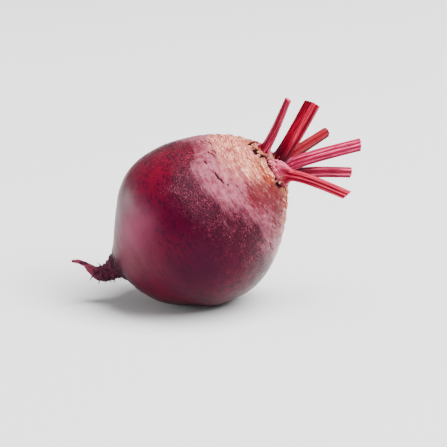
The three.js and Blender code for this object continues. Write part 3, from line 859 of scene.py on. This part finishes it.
# a stalk's skin: its oval with ribs, its own ridges and threads, closed by a cut end
def stalkBody(spec, seed):
    places = np.linspace(0, 1, stalkShape["rings"])
    middle, ahead = stalkPath(spec, places)
    halfWidth, halfThick, bow, inSheath = stalkSizes(spec, places)
    face = np.array(spec["face"], float)
    outward = unit(face - (ahead @ face)[:, None] * ahead)
    across = np.cross(outward, ahead)
    turn = np.linspace(0, 2 * np.pi, stalkShape["around"], endpoint=False)[None, :]
    far = np.concatenate([[0], np.cumsum(np.linalg.norm(np.diff(middle, axis=0), axis=1))])
    broad, small = stalkShape["turnWander"]
    spreadTurn = turn + broad * np.sin(3 * turn + seed) + small * np.sin(7 * turn + 2 * seed)
    halfWidth = halfWidth * (1 + spec["flare"] * fade(*stalkShape["flareSpan"], places))
    fine = np.cos(stalkShape["fineRibs"] * spreadTurn + 0.01 * far[:, None] * np.sin(seed))
    ribs = halfWidth[:, None] * np.cos(stalkShape["broadRibs"] * turn)
    height = stalkShape["fineRibHeight"] * fine + stalkShape["broadRibHeight"] * ribs
    pale = stalkShape["fineRibPale"] * fine
    onStalk = 1 - stalkShape["ridgeLoss"] * inSheath[:, None]
    for toward, half, high, paleness in spec["ridges"]:
        ridge = bell(turnOff(turn, toward), 0, half) * onStalk
        height = height + stalkShape["ridgeHeight"] * high * ridge
        pale = pale + stalkShape["ridgePale"] * paleness * ridge
    # seeded threads of uneven width, each strongest at a place of its own
    random = np.random.default_rng(seed)
    for toward in random.uniform(0, 360, stalkShape["threads"]):
        half = random.uniform(*stalkShape["threadHalf"])
        paleness = random.uniform(*stalkShape["threadPale"])
        swing = 0.7 + 0.3 * np.sin(0.16 * far[:, None] + random.uniform(0, 6.3))
        thread = swing * bell(turnOff(turn, toward), 0, half)
        height = height + stalkShape["threadHeight"] * paleness * thread
        pale = pale + paleness * thread
    reachX = halfWidth[:, None] + height
    reachY = halfThick[:, None] + height
    x = reachX * np.cos(turn)
    y = reachY * np.sin(turn) - bow[:, None] * np.cos(turn) ** 2
    skewHere = spec["skew"] * fade(stalkShape["skewFrom"], 1, places)[:, None]
    points = (middle[:, None] + across[:, None] * x[..., None] + outward[:, None] * y[..., None]
              + ahead[:, None] * (skewHere * x)[..., None])
    rim = np.abs(np.cos(turn)) ** 8 * inSheath[:, None]
    # the cut end: rings shrinking to the middle, a little sunk and uneven
    shrink = np.cos(np.linspace(0, np.pi / 2, stalkShape["capRings"] + 2))[1:-1, None]
    centre = points[-1].mean(0)
    cap = centre + (points[-1] - centre) * shrink[..., None]
    high, size, extraSeed = stalkShape["capRipple"]
    uneven = high * (1 - shrink ** 4) * ripples(cap, size, seed + extraSeed)
    cap = cap + ahead[-1] * (uneven - stalkShape["capSunk"])[..., None]
    marks = {
        "pale": overStalk(pale, stalkShape["capPale"] * pale[-1]),
        "rim": overStalk(rim, 0),
        "cut": overStalk(0, 1),
        "core": overStalk(0, 1 - shrink),
        "upStalk": overStalk(far[:, None], far[-1]),
    }
    marks["stalkPlace"] = np.stack([
        marks["upStalk"], overStalk(x, cap[..., 1] - centre[1]),
        overStalk(y, cap[..., 2] - centre[2])], -1)
    body = tubeBody(np.concatenate([points, cap]))
    return body, {name: withPoles(values) for name, values in marks.items()}


# The stalks' look, beside the colours in each stalk's row. A noise is its scale, detail and
# roughness; a span is from, to, and the shares there if not 0 and 1.
stalkLook = {
    "stretch": (0.04, 1, 1), "threads": (2.3, 4, 0.65), "threadReach": 3.6,
    "pale": (0.1, 0.95), "deep": (-0.1, -0.9), "footShare": 0.92,
    "rim": (250, 140, 180), "rimShare": 0.85,
    "flesh": (176, 34, 64), "fleshNoise": (1.2, 4, 0.6),
    "cutLayers": {                   # colour and span on the cut end
        "light": ((208, 74, 98), (0.4, 0.62)),
        "middle": ((226, 110, 124), (0.45, 0.95, 0, 0.6)),
        "bundles": ((104, 4, 26), (0.34, 0.18)),
        "edge": ((110, 4, 26), (0.22, 0.1)),
    },
    "bundleScale": 0.9,
    "gloss": (0.34, 0.08, (1.0, 0.55, 0.65)),
    "lines": (2.6, 3, 0.6), "bump": (0.00025, 0.6),
}


# a stalk: red with pale and deep threads, a paler sheath rim and a foot colour that is painted
# shade on the dark feet and pink on the others; its cut end is flesh with a light middle, dark
# bundles and a dark edge
def makeStalkMaterial(spec):
    look = stalkLook
    material, tree, shader = startMaterial(spec["node"] + "_flesh")
    place, core = mark(tree, "stalkPlace", "Vector"), mark(tree, "core")
    lengthways = stretched(place, look["stretch"])
    ridge = ragged(noise(lengthways, *look["threads"]), look["threadReach"], mark(tree, "pale"))
    red = overlaid(paint(*spec["red"]), spec["pale"], between(ridge, *look["pale"]))
    red = overlaid(red, spec["deep"], between(ridge, *look["deep"]))
    red = overlaid(red, look["rim"], times(mark(tree, "rim"), look["rimShare"]))
    # the foot colour: painted shade on the dark feet, the stalk's own pink on stalks 1 and 6
    foot = between(mark(tree, "upStalk"), *spec["footShadeAndPinkSpan"], 0, look["footShare"])
    red = overlaid(red, spec["foot"], foot)
    flesh = paint(*look["flesh"])
    layered = {"light": noise(place, *look["fleshNoise"]), "middle": core,
               "bundles": cells(place, look["bundleScale"]), "edge": core}
    for layer, value in layered.items():
        colour, span = look["cutLayers"][layer]
        flesh = overlaid(flesh, colour, between(value, *span))
    feed(shader.inputs["Base Color"], mixed(mark(tree, "cut"), red, flesh))
    setGloss(shader, *look["gloss"])
    lines = noise(lengthways, *look["lines"])
    feed(shader.inputs["Normal"], bumped(lines, *look["bump"]))
    return material


for number, spec in enumerate(stalks, 1):
    body, marks = stalkBody(spec, number)
    material = makeStalkMaterial(spec)
    makePiece(f"stalk_{number}", body, material, marks, (spec["node"],))

# Rootlets and hairs on the tap root.
rootHairs = {
    "rootlets": [                    # along, turn, length, sweep to the crown
        (-56.9, 270, 2.6, -0.65), (-52.6, 262, 1.4, 0.4), (-54.6, 205, 2.8, -0.6),
        (-49.2, 232, 2.2, -0.4), (-52.0, 340, 4.0, -0.7), (-48.6, 18, 3.0, -0.4),
        (-53.4, 60, 2.4, -0.5), (-47.4, 300, 2.0, 0.2),
    ],
    "rootletRadius": 0.42,
    "rootletCurl": 0.5,
    "hairCount": 60,
    "hairSpan": (-60.5, -43.6),
    "hairLength": (0.7, 2.6),
    "hairSweep": (-1.2, 0.3),
    "hairCurl": (-0.8, 0.8),
    "hairRadius": 0.07,
    "sunk": 1.0,
    "wave": (0.08, 9),               # share of the length, and how fast it swings
    "points": 14,
    "seed": 31,
    "dark": (58, 28, 36),
    "light": (110, 62, 66),
    "grain": 700.0,
}


# a rootlet: a tapering tube that leaves the skin, sweeps and curls to one side
def rootletBody(along, turn, length, sweep, radius, curl):
    foot, outward = skinSpot(along, turn, -rootHairs["sunk"])
    way = unit(outward + np.array([sweep, 0, 0]))
    aside = unit(np.cross(way, [0.3, 0.2, 1.0]))
    t = np.linspace(0, 1, rootHairs["points"])[:, None]
    path = foot + way * t * (length + rootHairs["sunk"]) + aside * curl * t ** 2
    reach, speed = rootHairs["wave"]
    path += reach * length * aside * np.sin(speed * t + turn)
    size = radius * (1 - 0.8 * t[:, 0]) + 0.02
    return strandBody(path, size, size, outward, 8)


# all rootlets and hairs as one piece
def makeHairs():
    random = np.random.default_rng(rootHairs["seed"])
    radius, curl = rootHairs["rootletRadius"], rootHairs["rootletCurl"]
    bodies = [rootletBody(*row, radius, curl) for row in rootHairs["rootlets"]]
    for _ in range(rootHairs["hairCount"]):
        bodies.append(rootletBody(
            random.uniform(*rootHairs["hairSpan"]), random.uniform(0, 360),
            random.uniform(*rootHairs["hairLength"]), random.uniform(*rootHairs["hairSweep"]),
            rootHairs["hairRadius"], random.uniform(*rootHairs["hairCurl"])))
    material = makeDryMaterial("rootHair", "hair", rootHairs["dark"], rootHairs["light"],
                               rootHairs["grain"])
    makePiece("root_hairs", joined(bodies), material)


makeHairs()

# What is left of older leaves: the torn foot in front, a dried one behind stalk 1, and
# small dry scales round the crown; and the short bud blades at the crown's middle.
oldLeaves = {
    "tornSeat": (42.2, -6.6, 4.4), "tornTip": (48.0, -7.8, 4.0), "tornFace": (0, -1, 0.2),
    "tornWidth": (5.8, 4.4), "tornThick": (0.9, 0.35), "tornBow": 0.7, "tornRagged": 3.2,
    "fibres": [                      # from, over, to: along, side, lift; half width
        ((43.6, -7.0, 9.2), (46.9, -8.3, 6.2), (47.4, -8.4, 1.6), 0.42),
        ((44.2, -7.8, 8.2), (46.6, -9.3, 5.2), (46.4, -9.4, 0.8), 0.34),
        ((43.8, -8.4, 7.2), (45.8, -9.9, 4.4), (45.4, -10.4, 0.6), 0.30),
        ((44.8, -6.2, 8.8), (48.0, -7.4, 6.4), (49.0, -7.8, 3.4), 0.26),
        ((44.0, -9.2, 5.4), (45.0, -10.8, 3.0), (44.6, -11.2, -1.0), 0.30),
    ],
    "driedPath": [(40.9, 108), (41.9, 101), (42.9, 92), (43.7, 82), (44.4, 70), (44.9, 58)],
    "driedHeight": 1.5, "driedThick": 0.32, "driedAbove": 0.5,
    "scaleCount": 64, "scaleSpan": (39.6, 44.8), "scaleSeed": 52,
    "scaleWidth": (0.5, 1.3), "scaleLength": (0.9, 2.2), "scaleThick": 0.09,
    "scaleAbove": -0.5, "scaleLift": (0.05, 0.5), "scaleWay": (0.75, -0.55),
    "scaleStray": 0.25,
    "budMiddle": (46.3, 3.2, 2.6), "budReach": 5.2, "budCount": 30, "budSeed": 77,
    "budLength": (2.0, 4.8), "budWidth": (0.5, 1.1), "budThick": 0.22,
    "budSunk": 0.7, "budSplay": 0.12, "budStray": 0.15, "budBend": 0.25,
}
# first and second screen colour, and the scale of their noise
dryPaints = {
    "tornFlesh": ((222, 112, 136), (130, 26, 52), 700.0),
    "driedLeaf": ((84, 8, 28), (30, 4, 12), 900.0),
    "dryScale": ((190, 120, 92), (70, 30, 24), 800.0),
    "budBlade": ((170, 52, 66), (84, 10, 26), 700.0),
}


# the torn foot: a thin bowed oval along its path whose upper edge is cut back by ripples
def tornFootBody():
    places = np.linspace(0, 1, 40)[:, None]
    seat, tip = np.array(oldLeaves["tornSeat"]), np.array(oldLeaves["tornTip"])
    path = ramp(seat, tip, places)
    ahead = unit(tip - seat)
    face = np.array(oldLeaves["tornFace"], float)
    outward = unit(face - (ahead @ face) * ahead)
    across = np.cross(outward, ahead)
    turn = np.linspace(0, 2 * np.pi, 96, endpoint=False)
    width = ramp(*oldLeaves["tornWidth"], places)
    thick = ramp(*oldLeaves["tornThick"], places)
    x = width / 2 * np.cos(turn)
    y = thick / 2 * np.sin(turn) - oldLeaves["tornBow"] * np.cos(turn) ** 2
    at = np.stack([x, 0 * x, 0 * x], -1)
    cutBack = oldLeaves["tornRagged"] * (0.5 + 0.5 * ripples(at, 1.3, 61, 30)) * places ** 2
    return tubeBody(path[:, None] + across * x[..., None] + outward * y[..., None]
                    - ahead * cutBack[..., None])


# a fibre: a flat strand on a bend through three places, thinning to its ends
def fibreBody(start, over, end, halfWidth):
    t = np.linspace(0, 1, 24)[:, None]
    start, over, end = np.array([start, over, end])
    path = (1 - t) ** 2 * start + 2 * t * (1 - t) * over + t ** 2 * end
    size = halfWidth * np.sqrt(np.sin(np.pi * np.clip(t[:, 0], 0.02, 0.98)))
    return strandBody(path, size, 0.4 * size, np.array([0.3, -1, 0.2]))


# the dried leaf: a strand over the skin through its spots, as high as a bent sine, creased
def driedBody():
    above = oldLeaves["driedAbove"]
    spots = np.array([skinSpot(*spot, above)[0] for spot in oldLeaves["driedPath"]])
    t = np.linspace(0, 1, 40)
    path = curveThrough(spots, t)
    size = oldLeaves["driedHeight"] / 2 * np.sin(np.pi * np.clip(t, 0.03, 0.97)) ** 0.6
    size = size * (1 + 0.25 * np.sin(23 * t) * np.sin(11 * t))
    thick = np.full(len(t), oldLeaves["driedThick"] / 2)
    return strandBody(path, size, thick, np.array([1.0, 0, 0]), 16)


# a scale: a short flat strand that leaves the skin towards the crown and lifts a little
def scaleBody(random):
    along, turn = random.uniform(*oldLeaves["scaleSpan"]), random.uniform(0, 360)
    foot, outward = skinSpot(along, turn, oldLeaves["scaleAbove"])
    length = random.uniform(*oldLeaves["scaleLength"])
    lifted = random.uniform(*oldLeaves["scaleLift"])
    onward, upward = oldLeaves["scaleWay"]
    stray = random.normal(size=3) * oldLeaves["scaleStray"]
    ahead = unit(np.array([onward, 0, 0]) + upward * outward + stray)
    t = np.linspace(0, 1, 8)[:, None]
    path = foot + ahead * length * t + outward * lifted * length * t ** 2
    size = random.uniform(*oldLeaves["scaleWidth"]) * np.sqrt(1 - 0.85 * t[:, 0] ** 2)
    return strandBody(path, size, np.full(len(t), oldLeaves["scaleThick"]), outward)


# a bud blade: a short pointed strand at a seeded place on the crown's end, leaning outward
def budBody(random):
    reach = oldLeaves["budReach"]
    away = reach * math.sqrt(random.uniform())
    turn = random.uniform(0, 2 * np.pi)
    beside = np.array([0, math.cos(turn), math.sin(turn)])
    foot = np.array(oldLeaves["budMiddle"]) + away * beside
    foot = foot - np.array([oldLeaves["budSunk"], 0, 0])
    length = random.uniform(*oldLeaves["budLength"]) * (1 - 0.5 * away / reach)
    stray = random.normal(size=3) * oldLeaves["budStray"]
    ahead = unit(np.array([1.0, 0, 0]) + oldLeaves["budSplay"] * away * beside + stray)
    t = np.linspace(0, 1, 9)[:, None]
    path = foot + ahead * length * t + beside * oldLeaves["budBend"] * length * t ** 2
    size = random.uniform(*oldLeaves["budWidth"]) * np.sqrt(1 - 0.97 * t[:, 0] ** 1.5)
    return strandBody(path, size, oldLeaves["budThick"] * (1.1 - t[:, 0]), beside)


# several bodies of one making, drawn in turn from one seed
def drawnBodies(makeBody, kind):
    draws = np.random.default_rng(oldLeaves[kind + "Seed"])
    return joined([makeBody(draws) for _ in range(oldLeaves[kind + "Count"])])


dryMaterials = {name: makeDryMaterial(name, "leaf", *row) for name, row in dryPaints.items()}
tornBody = joined([tornFootBody(), *(fibreBody(*row) for row in oldLeaves["fibres"])])
makePiece("torn_foot", tornBody, dryMaterials["tornFlesh"], None,
          ("torn_leaf_base",))
makePiece("dried_leaf", driedBody(), dryMaterials["driedLeaf"])
makePiece("crown_scales", drawnBodies(scaleBody, "scale"), dryMaterials["dryScale"])
makePiece("crown_buds", drawnBodies(budBody, "bud"), dryMaterials["budBlade"])

# Studio: a light grey table, a big soft light above on the right and a low one at the left.
studio = {
    "tableReach": 6.0,
    "ambient": 0.4,
    "tableGrey": 0.62,
    "tableGloss": (0.9, 0.1),        # roughness and specular level
    "aim": (0, 0, 0.05),
    "lights": [                      # name, place, long way, length, width, brightness
        ("key", (1.40, -0.40, 2.70), (0.76, -0.80, -0.41), 4.0, 1.8, 24),
        ("left", (-1.20, 0.12, 0.21), (0, 1, 0), 1.8, 0.40, 8),
    ],
}


def makeStudio():
    reach = studio["tableReach"]
    corners = [(-reach, -reach, 0), (reach, -reach, 0), (reach, reach, 0), (-reach, reach, 0)]
    mesh = bpy.data.meshes.new("table")
    mesh.from_pydata(corners, [], [(0, 1, 2, 3)])
    material, _, shader = startMaterial("tableGrey")
    shader.inputs["Base Color"].default_value = (*[studio["tableGrey"]] * 3, 1)
    setGloss(shader, *studio["tableGloss"])
    mesh.materials.append(material)
    table = bpy.data.objects.new("table", mesh)
    bpy.context.collection.objects.link(table)
    world = bpy.data.worlds.new("studioAir")
    world.use_nodes = True
    world.node_tree.nodes["Background"].inputs["Color"].default_value = (1, 1, 1, 1)
    world.node_tree.nodes["Background"].inputs["Strength"].default_value = studio["ambient"]
    bpy.context.scene.world = world
    for name, place, longWay, length, width, brightness in studio["lights"]:
        light = bpy.data.lights.new(name, "AREA")
        light.shape = "RECTANGLE"
        light.size, light.size_y = length, width
        light.energy = brightness * math.pi * length * width
        holder = bpy.data.objects.new(name, light)
        back = (Vector(place) - Vector(studio["aim"])).normalized()
        across = Vector(longWay)
        across = (across - across.dot(back) * back).normalized()
        turned = Matrix((across, back.cross(across), back)).transposed().to_4x4()
        holder.matrix_world = Matrix.Translation(place) @ turned
        bpy.context.collection.objects.link(holder)


# The camera looks along +Y and down on the root, from far enough to flatten it.
camera = {
    "elevation": 15.0,
    "distance": 1.0,                 # metres from what it is aimed at
    "aimRight": 11.3,                # from the root's middle, millimetres in the picture
    "aimUp": -1.2,
    "focal": 2083 / 447,             # as a share of the picture's width
    "sensor": 36.0,
}


def makeCamera():
    tilt = math.radians(camera["elevation"])
    right = np.array([1.0, 0, 0])
    upward = np.array([0, math.sin(tilt), math.cos(tilt)])
    into = np.array([0, math.cos(tilt), -math.sin(tilt)])
    aim = np.array(lying["middle"]) + camera["aimRight"] * right + camera["aimUp"] * upward
    data = bpy.data.cameras.new("camera")
    data.sensor_width = camera["sensor"]
    data.lens = camera["focal"] * camera["sensor"]
    data.clip_start, data.clip_end = 0.05, 50
    holder = bpy.data.objects.new("camera", data)
    turned = Matrix((right, upward, -into)).transposed().to_4x4()
    holder.matrix_world = Matrix.Translation(aim / 1000 - camera["distance"] * into) @ turned
    bpy.context.collection.objects.link(holder)
    bpy.context.scene.camera = holder


makeStudio()
makeCamera()
print("studio and camera set")
